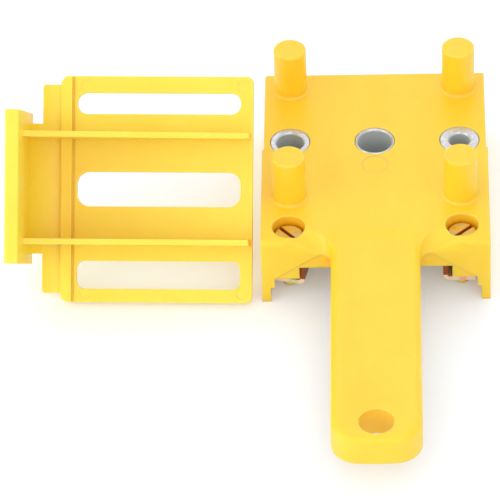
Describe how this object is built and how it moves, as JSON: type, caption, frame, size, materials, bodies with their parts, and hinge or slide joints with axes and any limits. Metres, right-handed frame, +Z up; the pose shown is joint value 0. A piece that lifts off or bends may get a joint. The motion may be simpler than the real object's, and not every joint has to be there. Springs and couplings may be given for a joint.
{
  "type": "self centering doweling jig",
  "caption": "Yellow moulded doweling jig with steel drill bushes in a row, upright centering posts, a flat handle with a hanging hole, screw clamps and a loose slotted fence.",
  "frame": {"origin": "axis of the middle drill bush, level with the flat underside that rests on the work", "axes": "+Z up along the bushes, the way the posts point; +Y away from the handle; +X towards the smallest bush"},
  "size_m": [0.1409, 0.1598, 0.0694],
  "materials": {
    "body_plastic": "smooth moulded yellow",
    "fence_plastic": "smooth moulded yellow",
    "bush_steel": "turned and plated steel",
    "screw_zinc": "yellow passivated zinc",
    "clamp_zinc": "yellow passivated zinc sheet"
  },
  "bodies": {
    "jig": {"jig_body": "body_plastic", "guide_bush_6": "bush_steel", "guide_bush_8": "bush_steel", "guide_bush_10": "bush_steel"},
    "left_screw": {"clamp_screw_left": "screw_zinc"},
    "right_screw": {"clamp_screw_right": "screw_zinc"},
    "left_clamp": {"clamp_left": "clamp_zinc"},
    "right_clamp": {"clamp_right": "clamp_zinc"},
    "fence": {"fence": "fence_plastic"}
  },
  "joints": [
    {"name": "left_screw_turn", "type": "hinge", "parent": "jig", "child": "left_screw", "pos_m": [-0.02555, -0.0385, 0.0167], "axis": [0, 0, 1], "range_deg": [0, 1620]},
    {"name": "right_screw_turn", "type": "hinge", "parent": "jig", "child": "right_screw", "pos_m": [0.02555, -0.0385, 0.0167], "axis": [0, 0, 1], "range_deg": [0, 1620]},
    {"name": "left_clamp_draw", "type": "slide", "parent": "jig", "child": "left_clamp", "axis": [0, 0, 1], "range_m": [-0.0036, 0]},
    {"name": "right_clamp_draw", "type": "slide", "parent": "jig", "child": "right_clamp", "axis": [0, 0, 1], "range_m": [-0.0036, 0]},
    {"name": "fence_adjust", "type": "slide", "parent": "jig", "child": "fence", "axis": [-0.0233, -0.7428, 0.6691], "range_m": [0, 0.02]}
  ],
  "couplings": [
    {"joint": "left_screw_turn", "follows": "left_clamp_draw", "rad_per_m": -7854},
    {"joint": "right_screw_turn", "follows": "right_clamp_draw", "rad_per_m": -7854}
  ]
}
